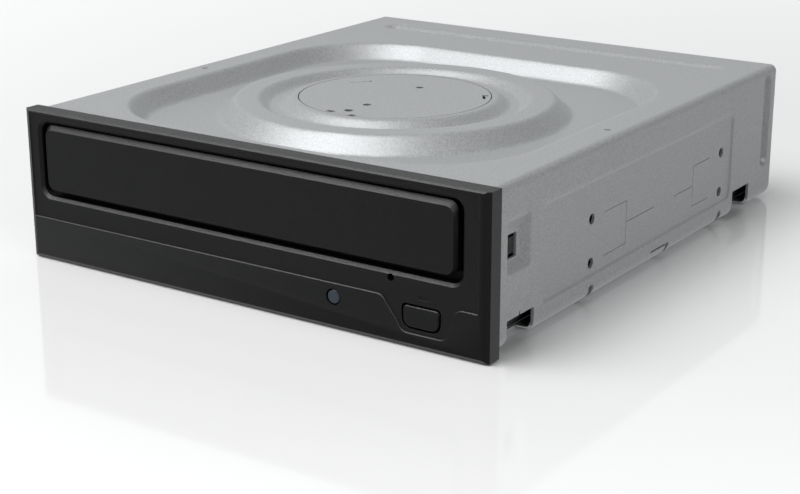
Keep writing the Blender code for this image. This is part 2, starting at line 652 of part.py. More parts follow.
def make_pickup():
    lens = LENS_D
    body = bevel(box("pickup_body", (-31.6, 31.6), (lens - 7, lens + 24), (16.0, 21.8), "magnet"), 0.6)
    for x in (-ROD_X, ROD_X):
        cut(body, rod(f"rod_bore_{x:.0f}", (x, lens + 8, ROD_Z), ROD_R + GAP, 40, "Y", sides=16))
    cut(body, box("actuator_well", (-12.5, 12.5), (lens - 6, lens + 15), (19.4, 25)),
        box("diode_notch", (3.5, 16.5), (lens + 18, lens + 26), (15, 25)))
    weld(body, box("screw_follower", (31.0, SCREW_X - SCREW_R - GAP), (lens + 6, lens + 14), (17.4, 20.0)))
    yoke = box("actuator_yoke", (-11.5, 11.5), (lens - 5.6, lens + 14), (19.8, 20.6), "bright_steel")
    for d in (-4.9, 4.9):
        weld(yoke, box(f"yoke_post_{d:.0f}", (-4.0, 4.0), (lens + d - 0.6, lens + d + 0.6), (20.2, 25.2)))
    holder = bevel(box("lens_holder", (-6.0, 6.0), (lens - 3.9, lens + 3.9), (21.6, 26.6), "dark_abs"), 0.4)
    cut(holder, rod("lens_seat", (0, lens, 26), 2.6, 4.0, sides=24))
    glass = turned("objective_lens", 0, lens,
                   [(0, 27.4), (1.0, 27.25), (1.7, 26.85), (2.3, 26.2), (2.3, 24.6), (0, 24.6)], "lens_blue",
                   steps=16)
    diode = rod("laser_diode", (10.0, lens + 20.6, 18.9), 2.6, 4.2, "Y", "bright_steel", sides=20)
    return body, yoke, diode, holder, glass


def make_lead_screw():
    return rod("lead_screw", (SCREW_X, 115.3, SCREW_Z), SCREW_R, 70.0, "Y", "bright_steel", sides=16)


# --------------------------------------------------------------- electronics

def make_electronics():
    board = box("main_board", (-57.4, 57.4), (62, 163), (3.0, 4.6), "board_green")
    chips = [box(name, (x - w / 2, x + w / 2), (d - w / 2, d + w / 2), (4.9, 6.1), "chip_black")
             for name, x, d, w in (("controller_chip", -20.0, 120.0, 20.0),
                                   ("driver_chip", 24.0, 136.0, 12.0), ("memory_chip", -44.0, 132.0, 9.0))]
    ribbon = box("ribbon_socket", (-14, 14), (96, 100), (4.9, 6.4), "white_pom")
    plug = box("sata_connector", (-60, -18), (156.5, CASE_D - 0.1), (4.9, 14.5), "dark_abs")
    cut(plug, box("socket_room", (-58.8, -19.2), (158.5, CASE_D + 2), (6.1, 13.3)))
    for x0, x1, name in ((-57.6, -47.4, "data"), (-43.2, -20.4, "power")):
        weld(plug, box(f"{name}_tongue", (x0, x1), (157.4, CASE_D - 1.6), (7.2, 8.4)))
    front = box("front_board", (20.6, 57.0), (3, 18), (2.6, 4.2), "board_green")
    switch = box("eject_switch", (52.2, 58.0), (4.9, 10.4), (4.5, 9.6), "chip_black")
    weld(switch, box("switch_plunger", (54.2, 56.2), (3.5, 5.5), (6.8, 8.6)))
    led = rod("status_led", (LED_X, 3.2, LED_Z), 1.5, 5.4, "Y", "lens_blue", sides=16)
    return [board, *chips, ribbon, plug, front, switch, led]


# ------------------------------------------------------------------ assembly

def clear_scene():
    for obj in list(bpy.data.objects):
        bpy.data.objects.remove(obj, do_unlink=True)


def new_collection(name):
    collection = bpy.data.collections.new(name)
    bpy.context.scene.collection.children.link(collection)
    return collection


def build_loader():
    drive, pulley, small, belt, motor = make_loading_train()
    hang(pivot("drive_axis", spot(DRIVE_X, DRIVE_D, 20.0)), drive)
    hang(pivot("pulley_axis", spot(PULLEY_X, DRIVE_D, 18.0)), pulley)
    hang(pivot("motor_axis", spot(MOTOR_X, DRIVE_D, 17.0)), small)
    hang(pivot("tray_axis", spot(0, 0, TRAY_Z[0])), make_tray(), make_door())
    hang(pivot("button_axis", spot(middle(BUTTON_FRONT[:2]), 0, middle(BUTTON_FRONT[2:]))), make_button())
    hang(pivot("cam_axis", spot(0, middle(CAM_D), 14.0)), make_cam_slider())


def build_traverse():
    tilt = pivot("traverse_axis", spot(0, PIVOT_D, PIVOT_Z))
    hang(tilt, make_traverse_frame(), *make_traverse_fittings())
    hang(pivot("spindle_axis", spot(0, SPINDLE_D, SEAT_Z), tilt), *make_turntable())
    hang(pivot("screw_axis", spot(SCREW_X, SPINDLE_D, SCREW_Z), tilt), make_lead_screw())
    body, yoke, diode, holder, glass = make_pickup()
    slide = pivot("pickup_axis", spot(0, LENS_D, ROD_Z), tilt)
    hang(slide, body, yoke, diode)
    hang(pivot("focus_axis", spot(0, LENS_D, 24.0), slide), holder, glass)
    tilt.rotation_euler.x = TILT


clear_scene()
ORIGINS = {}
PARTS = new_collection("optical_drive")
CUTTERS = new_collection("cutters")
make_top_cover()
make_bottom_cover()
make_cover_screws()
clamp_plate, clamp_holder, clamper, clamper_disc = make_clamp()
hang(pivot("clamper_axis", spot(0, SPINDLE_D, 34.0)), clamper, clamper_disc)
make_bezel()
make_light_pipe()
make_main_frame()
make_bushes()
make_electronics()
build_loader()
build_traverse()
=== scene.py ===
import json
import math
from collections import namedtuple

import bmesh
import bpy
import numpy as np
from mathutils import Matrix, Vector


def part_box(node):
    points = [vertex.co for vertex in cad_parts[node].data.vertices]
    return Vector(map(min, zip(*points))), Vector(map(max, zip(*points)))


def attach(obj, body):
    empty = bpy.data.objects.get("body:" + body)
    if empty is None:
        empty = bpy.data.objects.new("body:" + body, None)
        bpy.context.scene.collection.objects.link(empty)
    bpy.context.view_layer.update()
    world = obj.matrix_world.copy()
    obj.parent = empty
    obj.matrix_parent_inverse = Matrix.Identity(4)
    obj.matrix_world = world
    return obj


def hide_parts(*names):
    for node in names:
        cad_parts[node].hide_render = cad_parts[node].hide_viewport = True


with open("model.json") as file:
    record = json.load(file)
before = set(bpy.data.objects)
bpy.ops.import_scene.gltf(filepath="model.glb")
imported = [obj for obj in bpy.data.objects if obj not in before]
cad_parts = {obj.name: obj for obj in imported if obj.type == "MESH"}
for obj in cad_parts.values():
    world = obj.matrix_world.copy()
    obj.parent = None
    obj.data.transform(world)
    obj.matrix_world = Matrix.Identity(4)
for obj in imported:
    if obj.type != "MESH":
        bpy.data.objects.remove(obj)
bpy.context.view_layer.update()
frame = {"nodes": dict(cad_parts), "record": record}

MM = 0.001
WELD = 0.000002                  # points closer than this, in metres, are one
CASE_LOW, CASE_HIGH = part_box("top_cover")
FACE_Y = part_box("bottom_cover")[0].y / MM - 0.3
CASE_HALF = CASE_HIGH.x / MM
CASE_TOP = CASE_HIGH.z / MM
CASE_BOTTOM = CASE_LOW.z / MM
CASE_DEPTH = CASE_HIGH.y / MM - FACE_Y
SHEET = 0.8
SPINDLE_D = 65.0
HOUSING = "housing"
SIDES = (1, -1)                  # right and left, as signs of x

CAMERA_AZIMUTH, CAMERA_ELEVATION = 33.97, 17.86
CAMERA_DISTANCE, CAMERA_LENS = 0.5139, 77.4
CAMERA_TARGET = Vector((-0.00653, 0.0002, -0.00679))
CAMERA_SHIFT = (-0.0070, -0.0067)

# The room's brightness: a level, and how it changes to the right, to the back and upwards
ROOM_LEVEL, ROOM_DARKEST = 0.19, 0.08
ROOM_SLOPE = (-0.28, 0.43, -0.30)
ROOM_COLOUR = (0.97, 0.99, 1.0, 1.0)

FLOOR_HALF = 4.0                 # metres
FLOOR_DROP = 0.0004


def spot(x, d, z):
    return Vector((x, d + FACE_Y, z)) * MM


def middle(span):
    return (span[0] + span[1]) / 2


# ------------------------------------------------------------ camera, stage

def make_camera():
    azimuth, elevation = math.radians(CAMERA_AZIMUTH), math.radians(CAMERA_ELEVATION)
    outward = Vector((math.sin(azimuth) * math.cos(elevation), -math.cos(azimuth) * math.cos(elevation),
                      math.sin(elevation)))
    data = bpy.data.cameras.new("camera")
    data.lens = CAMERA_LENS
    data.sensor_width = 36.0
    data.shift_x, data.shift_y = CAMERA_SHIFT
    data.clip_start = 0.01
    camera = bpy.data.objects.new("camera", data)
    camera.location = CAMERA_TARGET + outward * CAMERA_DISTANCE
    camera.rotation_euler = (math.pi / 2 - elevation, 0, azimuth)
    bpy.context.scene.collection.objects.link(camera)
    bpy.context.scene.camera = camera


def area_light(name, where, size, power):
    """A square light that shines on the origin."""
    data = bpy.data.lights.new(name, "AREA")
    data.size = size
    data.energy = power
    light = bpy.data.objects.new(name, data)
    light.location = where
    light.rotation_euler = (-Vector(where)).to_track_quat("-Z", "Y").to_euler()
    bpy.context.scene.collection.objects.link(light)


def make_world():
    world = bpy.data.worlds.new("studio")
    world.use_nodes = True
    nodes = Nodes(world.node_tree)
    coords = nodes.add("ShaderNodeTexCoord")
    slope = nodes.add("ShaderNodeVectorMath", operation="DOT_PRODUCT")
    slope.inputs[1].default_value = ROOM_SLOPE
    level = nodes.add("ShaderNodeMath", operation="ADD")
    level.inputs[1].default_value = ROOM_LEVEL
    darkest = nodes.add("ShaderNodeMath", operation="MAXIMUM")
    darkest.inputs[1].default_value = ROOM_DARKEST
    background = world.node_tree.nodes["Background"]
    nodes.set(background, "Color", ROOM_COLOUR)
    nodes.link(coords.outputs["Generated"], slope.inputs[0])
    nodes.link(slope.outputs["Value"], level.inputs[0])
    nodes.link(level.outputs["Value"], darkest.inputs[0])
    nodes.link(darkest.outputs["Value"], background.inputs["Strength"])
    bpy.context.scene.world = world


def make_floor():
    bm = bmesh.new()
    bmesh.ops.create_grid(bm, x_segments=2, y_segments=2, size=FLOOR_HALF)
    mesh = mesh_of(bm, "floor")
    mesh.materials.append(floor_material())
    floor = bpy.data.objects.new("floor", mesh)
    floor.location.z = -FLOOR_DROP
    bpy.context.scene.collection.objects.link(floor)
    floor.visible_glossy = False


def make_stage():
    make_world()
    make_floor()
    bpy.context.scene.view_settings.view_transform = "Standard"
    area_light("key", (-0.36, -0.50, 1.06), 1.1, 17.5)
    area_light("fill", (1.0, -0.40, 0.62), 0.9, 4.2)


# ---------------------------------------------------------------- materials

class Nodes:
    """A node tree, with short calls to add, set and link nodes."""

    def __init__(self, tree):
        self.tree = tree

    def set(self, node, socket, value):
        node.inputs[socket].default_value = value

    def add(self, kind, **settings):
        node = self.tree.nodes.new(kind)
        for key, value in settings.items():
            setattr(node, key, value)
        return node

    def link(self, source, target):
        self.tree.links.new(source, target)


class Look(Nodes):
    """A material built round one shader, in the piece's own coordinates."""

    def __init__(self, name, colour, roughness, metallic=0.0, **sockets):
        self.material = bpy.data.materials.new(name)
        self.material.use_nodes = True
        super().__init__(self.material.node_tree)
        self.shader = self.tree.nodes["Principled BSDF"]
        self.set(self.shader, "Base Color", (*colour, 1.0))
        self.set(self.shader, "Roughness", roughness)
        self.set(self.shader, "Metallic", metallic)
        for socket, value in sockets.items():
            self.set(self.shader, socket.replace("_", " "), value)
        self.coords = self.add("ShaderNodeTexCoord").outputs["Object"]

    def noise(self, scale, detail=2.0, roughness=0.5, stretch=(1, 1, 1)):
        mapping = self.add("ShaderNodeMapping")
        self.set(mapping, "Scale", stretch)
        self.link(self.coords, mapping.inputs["Vector"])
        noise = self.add("ShaderNodeTexNoise")
        self.set(noise, "Scale", scale)
        self.set(noise, "Detail", detail)
        self.set(noise, "Roughness", roughness)
        self.link(mapping.outputs["Vector"], noise.inputs["Vector"])
        return noise.outputs["Fac"]

    def mapped(self, value, target, low, high, from_low=0.3, from_high=0.7):
        """Send a value to one of the shader's sockets, stretched from one range to another."""
        stretch = self.add("ShaderNodeMapRange")
        ends = {"From Min": from_low, "From Max": from_high, "To Min": low, "To Max": high}
        for socket, number in ends.items():
            self.set(stretch, socket, number)
        self.link(value, stretch.inputs["Value"])
        self.link(stretch.outputs["Result"], self.shader.inputs[target])

    def colours(self, value, stops):
        """Colour the shader by a value, through a ramp of (position, colour) stops."""
        ramp = self.add("ShaderNodeValToRGB")
        for element, (position, colour) in zip(ramp.color_ramp.elements, stops):
            element.position = position
            element.color = (*colour, 1.0)
        self.link(value, ramp.inputs["Fac"])
        self.link(ramp.outputs["Color"], self.shader.inputs["Base Color"])

    def bump(self, height, strength, distance):
        bump = self.add("ShaderNodeBump")
        self.set(bump, "Strength", strength)
        self.set(bump, "Distance", distance)
        self.link(height, bump.inputs["Height"])
        self.link(bump.outputs["Normal"], self.shader.inputs["Normal"])


def floor_material():
    """Near-white and faintly glossy, with painted light: it glows a little more with distance, standing in
    for the light on a lit sweep.
    """
    white = (1.0, 1.0, 1.0, 1.0)
    look = Look("pale_floor", (0.93, 0.93, 0.93), 0.06, Specular_IOR_Level=0.95, Emission_Color=white)
    distance = look.add("ShaderNodeVectorMath", operation="LENGTH")
    look.link(look.coords, distance.inputs[0])
    # painted light: emission rising with distance from the origin, so the floor is brighter away from the
    # object and darker near it
    look.mapped(distance.outputs["Value"], "Emission Strength", 0.0, 0.22, 0.15, 0.45)
    look.mapped(look.noise(6.0), "Roughness", 0.05, 0.08)
    return look.material


def zinc_steel():
    """Skin-passed zinc-coated sheet: satin, with a fine even grain."""
    look = Look("zinc_steel", (0.44, 0.45, 0.457), 0.45, 0.42)
    grain = look.noise(1900.0, 3.0, 0.65)
    look.colours(grain, [(0.36, (0.38, 0.392, 0.402)), (0.64, (0.50, 0.51, 0.517))])
    look.mapped(grain, "Roughness", 0.40, 0.50)
    look.bump(grain, 0.25, 0.0002)
    return look.material


def bright_steel():
    look = Look("bright_steel", (0.62, 0.62, 0.63), 0.25, 1.0)
    brushed = look.noise(900.0, 2.0, 0.5, (1, 1, 14))
    look.colours(brushed, [(0.3, (0.55, 0.55, 0.56)), (0.7, (0.68, 0.68, 0.69))])
    look.mapped(brushed, "Roughness", 0.18, 0.34)
    look.bump(brushed, 0.1, 0.00005)
    return look.material


def grained_plastic(name, dark, light, roughness, scale, depth):
    """Spark-eroded mould texture."""
    look = Look(name, dark, roughness, Specular_IOR_Level=0.75)
    grain = look.noise(scale, 2.0, 0.65)
    look.colours(look.noise(scale * 0.9, 2.0), [(0.35, dark), (0.65, light)])
    look.mapped(grain, "Roughness", roughness - 0.06, roughness + 0.08)
    look.bump(grain, 0.6, depth)
    return look.material


def black_abs():
    dark, light = (0.0030, 0.0030, 0.0028), (0.0050, 0.0050, 0.0047)
    return grained_plastic("black_abs", dark, light, 0.38, 4200.0, 0.0002)


def dark_abs():
    dark, light = (0.020, 0.020, 0.022), (0.030, 0.030, 0.032)
    return grained_plastic("dark_abs", dark, light, 0.5, 1500.0, 0.00015)


def acetal():
    look = Look("white_pom", (0.72, 0.71, 0.66), 0.34, Subsurface_Weight=0.08)
    look.set(look.shader, "Subsurface Scale", 0.002)
    flow = look.noise(120.0, 3.0)
    look.colours(flow, [(0.3, (0.68, 0.67, 0.62)), (0.7, (0.76, 0.75, 0.70))])
    look.bump(look.noise(1500.0), 0.08, 0.0001)
    return look.material


def rubber():
    look = Look("rubber", (0.018, 0.018, 0.018), 0.8)
    powder = look.noise(900.0, 4.0)
    look.colours(powder, [(0.35, (0.014, 0.014, 0.014)), (0.75, (0.032, 0.031, 0.030))])
    look.bump(powder, 0.3, 0.0001)
    return look.material


def solder_mask():
    """Green solder mask with the faint relief of copper tracks under it."""
    look = Look("board_green", (0.012, 0.10, 0.045), 0.3, Coat_Weight=0.4, Coat_Roughness=0.15)
    tracks = look.add("ShaderNodeTexBrick", offset=0.5, squash=1.0)
    look.set(tracks, "Scale", 160.0)
    look.set(tracks, "Mortar Size", 0.03)
    look.set(tracks, "Color1", (0.012, 0.11, 0.05, 1))
    look.set(tracks, "Color2", (0.016, 0.13, 0.055, 1))
    look.set(tracks, "Mortar", (0.03, 0.19, 0.08, 1))
    look.link(look.coords, tracks.inputs["Vector"])
    look.link(tracks.outputs["Color"], look.shader.inputs["Base Color"])
    look.bump(tracks.outputs["Fac"], 0.3, 0.00005)
    return look.material


def chip_epoxy():
    look = Look("chip_black", (0.014, 0.014, 0.015), 0.45)
    grain = look.noise(3000.0)
    look.mapped(grain, "Roughness", 0.38, 0.52)
    look.bump(grain, 0.2, 0.00005)
    return look.material


def tinted_lens():
    look = Look("lens_blue", (0.05, 0.062, 0.08), 0.2, Coat_Weight=0.3, Coat_Roughness=0.1)
    look.colours(look.noise(400.0), [(0.3, (0.040, 0.050, 0.066)), (0.7, (0.056, 0.070, 0.092))])
    return look.material


def die_cast():
    look = Look("die_cast", (0.30, 0.30, 0.31), 0.5, 0.85)
    skin = look.noise(500.0, 4.0, 0.7)
    look.colours(skin, [(0.3, (0.24, 0.24, 0.25)), (0.7, (0.36, 0.36, 0.37))])
    look.bump(skin, 0.35, 0.0001)
    return look.material


LOOKS = {
    "zinc_steel": zinc_steel(),
    "bright_steel": bright_steel(),
    "black_abs": black_abs(),
    "dark_abs": dark_abs(),
    "white_pom": acetal(),
    "rubber": rubber(),
    "board_green": solder_mask(),
    "chip_black": chip_epoxy(),
    "lens_blue": tinted_lens(),
    "die_cast": die_cast(),
}


# ------------------------------------------------------------ shape helpers

def place(name, mesh, look, body=HOUSING, replaces=()):
    """Link a mesh as a piece, give it its look, and ride it on a body."""
    mesh.materials.clear()
    mesh.materials.append(LOOKS[look])
    obj = bpy.data.objects.new(name, mesh)
    bpy.context.scene.collection.objects.link(obj)
    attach(obj, body)
    if replaces:
        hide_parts(*replaces)
    return obj


def mesh_of(bm, name):
    mesh = bpy.data.meshes.new(name)
    bm.to_mesh(mesh)
    bm.free()
    return mesh


def box(x, d, z):
    bm = bmesh.new()
    bmesh.ops.create_cube(bm, size=1.0)
    size = Vector((x[1] - x[0], d[1] - d[0], z[1] - z[0])) * MM
    bmesh.ops.scale(bm, vec=size, verts=bm.verts)
    bmesh.ops.translate(bm, vec=spot(middle(x), middle(d), middle(z)), verts=bm.verts)
    return mesh_of(bm, "box")


AXES = {                         # turns that lay a shape made along Z along another axis
    "X": Matrix(((0, 0, 1), (1, 0, 0), (0, 1, 0))).to_4x4(),
    "Y": Matrix(((1, 0, 0), (0, 0, -1), (0, 1, 0))).to_4x4(),
    "Z": Matrix.Identity(4),
}


def rod(centre, radius, length, axis="Z", sides=48, end_radius=None):
    bm = bmesh.new()
    bmesh.ops.create_cone(bm, cap_ends=True, segments=sides, depth=length * MM, radius1=radius * MM,
                          radius2=(radius if end_radius is None else end_radius) * MM)
    bmesh.ops.transform(bm, matrix=AXES[axis], verts=bm.verts)
    bmesh.ops.translate(bm, vec=spot(*centre), verts=bm.verts)
    return mesh_of(bm, "rod")


def loft(near, far, span, axis):
    """A solid from one outline at span[0] to another, with as many points, at span[1].

    Outlines are (x, d) along Z, (x, z) along Y and (d, z) along X.
    """
    bm = bmesh.new()
    loops = []
    for outline, at in zip((near, far), span):
        corners = {"X": [(at, a, b) for a, b in outline], "Y": [(a, at, b) for a, b in outline],
                   "Z": [(a, b, at) for a, b in outline]}[axis]
        loops.append([bm.verts.new(spot(*corner)) for corner in corners])
        bm.faces.new(loops[-1])
    for i in range(len(near)):
        bm.faces.new((loops[0][i - 1], loops[0][i], loops[1][i], loops[1][i - 1]))
    bmesh.ops.recalc_face_normals(bm, faces=bm.faces)
    return mesh_of(bm, "loft")


def slab(outline, span, axis="Z"):
    return loft(outline, outline, span, axis)


def grown(outline, by):
    """The outline moved outwards by a distance, corner by corner."""
    area = sum(a[0] * b[1] - b[0] * a[1] for a, b in zip(outline, outline[1:] + outline[:1]))
    moved = []
    for i, here in enumerate(outline):
        normals = []
        for start, end in ((outline[i - 1], here), (here, outline[(i + 1) % len(outline)])):
            edge = Vector((end[1] - start[1], start[0] - end[0])).normalized()
            normals.append(edge * math.copysign(1, area))
        shift = (normals[0] + normals[1]) * by / (1 + normals[0].dot(normals[1]))
        moved.append((here[0] + shift.x, here[1] + shift.y))
    return moved


def arc(u, v, radius, start, end, steps):
    return [(u + radius * math.cos(math.radians(start + (end - start) * i / steps)),
             v + radius * math.sin(math.radians(start + (end - start) * i / steps)))
            for i in range(steps + 1)]


def round_rect(a, b, radii, steps=8):
    """Rounded rectangle; radii is one number, or four from the high-high corner anticlockwise."""
    if not isinstance(radii, tuple):
        radii = (radii,) * 4
    points = []
    corners = ((a[1], b[1], 0), (a[0], b[1], 90), (a[0], b[0], 180), (a[1], b[0], 270))
    for (u, v, start), radius in zip(corners, radii):
        cu = u - math.copysign(radius, u - middle(a))
        cv = v - math.copysign(radius, v - middle(b))
        points += arc(cu, cv, radius, start, start + 90, steps)
    return points


def circle(u, v, radius, steps=64):
    return arc(u, v, radius, 0, 360 - 360 / steps, steps - 1)


def turned(x, d, profile, steps=96):
    """Solid of revolution about a vertical axis.

    The profile is a loop of (r, z) points, or a line of them with both ends on the axis.
    """
    bm = bmesh.new()
    verts = [bm.verts.new((r * MM, 0, z * MM)) for r, z in profile]
    closed = min(r for r, z in profile) > 0
    count = len(verts)
    edges = [bm.edges.new((verts[i], verts[(i + 1) % count])) for i in range(count if closed else count - 1)]
    bmesh.ops.spin(bm, geom=verts + edges, cent=(0, 0, 0), axis=(0, 0, 1), angle=math.tau, steps=steps)
    bmesh.ops.remove_doubles(bm, verts=bm.verts, dist=WELD)
    bmesh.ops.translate(bm, vec=spot(x, d, 0), verts=bm.verts)
    bmesh.ops.recalc_face_normals(bm, faces=bm.faces)
    return mesh_of(bm, "turned")


def modified(obj):
    """The object's mesh with its modifiers applied; the object itself is removed."""
    bpy.context.view_layer.update()
    mesh = bpy.data.meshes.new_from_object(obj.evaluated_get(bpy.context.evaluated_depsgraph_get()))
    bpy.data.objects.remove(obj)
    return mesh


def boolean(mesh, operation, tools):
    """A new mesh: this one joined with, or cut by, all the tools at once. The tools don't overlap."""
    host = bpy.data.objects.new("host", mesh)
    bpy.context.scene.collection.objects.link(host)
    bm = bmesh.new()
    for tool in tools:
        bm.from_mesh(tool)
    cutter = bpy.data.objects.new("cutter", mesh_of(bm, "cutter"))
    bpy.context.scene.collection.objects.link(cutter)
    modifier = host.modifiers.new("Boolean", "BOOLEAN")
    modifier.operation = operation
    modifier.solver = "EXACT"
    modifier.object = cutter
    result = modified(host)
    bpy.data.objects.remove(cutter)
    return result


def cut(mesh, *tools):
    return boolean(mesh, "DIFFERENCE", tools)


def weld(mesh, *tools):
    return boolean(mesh, "UNION", tools)


def smooth(obj, sharp=35):
    """Smooth shading, broken at edges sharper than an angle in degrees."""
    obj.data.shade_smooth()
    obj.data.set_sharp_from_angle(angle=math.radians(sharp))


def soften(obj, width, segments=2, angle=30):
    """Rounded edges that catch the light, with flat faces kept flat."""
    bevel = obj.modifiers.new("Edge", "BEVEL")
    bevel.width = width * MM
    bevel.segments = segments
    bevel.limit_method = "ANGLE"
    bevel.angle_limit = math.radians(angle)
    bevel.harden_normals = True
    smooth(obj, 40)


# ------------------------------------------------------------ pressed steel

# A pressing sinks a rounded rectangle below a flat face. Its spans are in x and d on the top
# and in d and z on a side; run is the width of the slope round it, blend rounds the slope's corners.
Pressing = namedtuple("Pressing", "a b radius run blend deep")
POCKET = Pressing((-62.5, 62.5), (3.3, 128.2), 33.0, 4.6, 1.1, 4.8)
TOP_GROOVE = Pressing((-61.5, 61.5), (147.0, 153.4), 3.19, 2.4, 1.4, 1.3)
LATCH = Pressing((4.6, 15.4), (18.9, 32.6), 0.7, 2.6, 0.3, 1.8)
PANEL = Pressing((21.4, 133.8), (6.8, 32.7), 2.6, 0.6, 0.3, 0.45)
SIDE_GROOVE = Pressing((155.6, 160.6), (11.0, 39.6), 2.4, 1.3, 0.5, 1.5)
SIDE_PRESSINGS = (LATCH, PANEL, SIDE_GROOVE)
RING_STEPS = (                   # radius where each slope starts, its run, its rise, its rounding
    (49.6, 4.8, 4.7, 1.0),
    (38.3, 3.0, -2.2, 0.9),
    (32.3, 3.4, 2.3, 0.9),
)
CLAMP_R = 27.0
DIMPLE_X, DIMPLE_D = 68.0, 63.0
BEND_BOTTOM, BEND_TOP, BEND_REAR = 3.8, 2.0, 1.6
REAR_CURL = 80                   # degrees that the sheet's rear edges turn inwards
FLANGE_IN = 66.5
SIDE_HOLES_D, SIDE_HOLES_Z, SIDE_HOLE_R = (47.4, 126.65), (10.35, 22.19), 1.45
GRID_TOP, GRID_D, GRID_SIDE = 203, 0.7, 1.1      # lines across the top, then spacings
SLOPE_LINES, SLOPE_MARGIN = 9, 0.3


def soft_ramp(t, run, blend):
    """0 to 1 as t goes from 0 to run, with both corners rounded over blend."""
    def area(reach):
        reach = np.clip(reach, 0.0, None)
        return np.where(reach < run, reach * reach / (2 * run), reach - run / 2)

    return (area(t + blend / 2) - area(t - blend / 2)) / blend


def depth_inside(a, b, span_a, span_b, radius):
    """Distance inwards from a rounded rectangle's outline, negative outside it."""
    qa = np.abs(a - middle(span_a)) - ((span_a[1] - span_a[0]) / 2 - radius)
    qb = np.abs(b - middle(span_b)) - ((span_b[1] - span_b[0]) / 2 - radius)
    return radius - np.hypot(np.maximum(qa, 0), np.maximum(qb, 0)) - np.minimum(np.maximum(qa, qb), 0)


def sunk(pressing, a, b):
    """How far a pressing lies below its face at a point."""
    inside = depth_inside(a, b, pressing.a, pressing.b, pressing.radius)
    return pressing.deep * soft_ramp(inside, pressing.run, pressing.blend)


def top_relief(x, d):
    """Height of the pressed top over its flat rim."""
    radius = np.hypot(x, d - SPINDLE_D)
    ring = sum(rise * soft_ramp(start - radius, run, blend) for start, run, rise, blend in RING_STEPS)
    return ring - sunk(POCKET, x, d) - sunk(TOP_GROOVE, x, d)


def side_relief(d, z):
    """Height of a pressed side over its flat face."""
    return -sum(sunk(pressing, d, z) for pressing in SIDE_PRESSINGS)


def slope_bands(spans, high):
    """(start, end) of each pressing's two slopes, kept under high, with overlapping ones merged."""
    bands = []
    for (low_end, high_end), run in spans:
        bands += [(low_end, low_end + run), (high_end - run, min(high_end, high))]
    merged = []
    for start, end in sorted(bands):
        if merged and start < merged[-1][1]:
            merged[-1] = (merged[-1][0], max(end, merged[-1][1]))
        else:
            merged.append((start, end))
    return merged


def grid_lines(low, high, step, spans):
    """Evenly spaced lines, with finer ones across each slope of the pressings."""
    lines = list(np.linspace(low, high, int(round((high - low) / step)) + 1))
    for start, end in slope_bands(spans, high - SLOPE_MARGIN - 0.05):
        start, end = start - SLOPE_MARGIN, end + SLOPE_MARGIN
        lines = [line for line in lines if not start < line < end]
        lines += list(np.linspace(start, end, SLOPE_LINES))
    return np.array(sorted(lines))


def bend(x, z, radius, start, end, count):
    """(x, z, normal x, normal z) points round a bend, from one angle in degrees to another."""
    angles = np.radians(np.linspace(start, end, count))
    return [(x + radius * math.cos(a), z + radius * math.sin(a), math.cos(a), math.sin(a)) for a in angles]


def sheet_section():
    """(x, z, normal x, normal z) points across the sheet, from the right flange over to the left one."""
    half_top = CASE_HALF - BEND_TOP
    low_x, low_z, high_z = CASE_HALF - BEND_BOTTOM, CASE_BOTTOM + BEND_BOTTOM, CASE_TOP - BEND_TOP
    lines = grid_lines(low_z, high_z, GRID_SIDE, [(pressing.b, pressing.run) for pressing in SIDE_PRESSINGS])
    right = ([(x, CASE_BOTTOM, 0.0, -1.0) for x in np.linspace(FLANGE_IN, low_x, 3)[:-1]]
             + bend(low_x, low_z, BEND_BOTTOM, -90, 0, 9)
             + [(CASE_HALF, z, 1.0, 0.0) for z in lines[1:-1]]
             + bend(half_top, high_z, BEND_TOP, 0, 90, 8))
    top = [(x, CASE_TOP, 0.0, 1.0) for x in np.linspace(half_top, -half_top, GRID_TOP)[1:-1]]
    left = [(-x, z, -normal_x, normal_z) for x, z, normal_x, normal_z in reversed(right)]
    return np.array(right + top + left)


def sheet_depths():
    """Depths of the grid's rows, and how far inwards each row curls."""
    spans = [(pressing.a, pressing.run) for pressing in SIDE_PRESSINGS]
    straight = grid_lines(0.2, CASE_DEPTH - BEND_REAR, GRID_D, spans)
    curl = np.radians(np.linspace(0, REAR_CURL, 8))[1:]
    rear = CASE_DEPTH - BEND_REAR + BEND_REAR * np.sin(curl)
    inward = BEND_REAR * (1 - np.cos(curl))
    return np.concatenate((straight, rear)), np.concatenate((np.zeros(len(straight)), inward))


def case_sheet():
    """The wrapped sheet as a fine grid over its developed width, pressed, then given its thickness."""
    x, z, normal_x, normal_z = sheet_section().T[:, None, :]
    depths, curled = sheet_depths()
    d = depths[:, None]
    relief = (np.where(normal_z > 0.999, top_relief(x, d), 0.0)
              + np.where(np.abs(normal_x) > 0.999, side_relief(d, z), 0.0) - curled[:, None])
    y = np.broadcast_to(d, relief.shape) + FACE_Y
    points = np.stack([x + normal_x * relief, y, z + normal_z * relief], axis=-1)
    rows, columns = relief.shape
    index = np.arange(rows * columns).reshape(rows, columns)
    faces = np.stack([index[:-1, :-1], index[1:, :-1], index[1:, 1:], index[:-1, 1:]], axis=-1)
    mesh = bpy.data.meshes.new("case_sheet")
    mesh.from_pydata((points.reshape(-1, 3) * MM).tolist(), [], faces.reshape(-1, 4).tolist())
    sheet = bpy.data.objects.new("case_sheet", mesh)
    bpy.context.scene.collection.objects.link(sheet)
    thick = sheet.modifiers.new("Sheet", "SOLIDIFY")
    thick.thickness = SHEET * MM
    thick.offset = -1.0
    return modified(sheet)


def across(side, low, high):
    """The x span from low to high on one side."""
    return tuple(sorted((side * low, side * high)))


def side_line(side, d, z, half_width=0.11, deep=0.2):
    """A thin engraved line on a side's panel, over a span of d and of z."""
    face = CASE_HALF - 0.42
    return box(across(side, face - deep, face + 1),
               (d[0] - half_width, d[1] + half_width), (z[0] - half_width, z[1] + half_width))


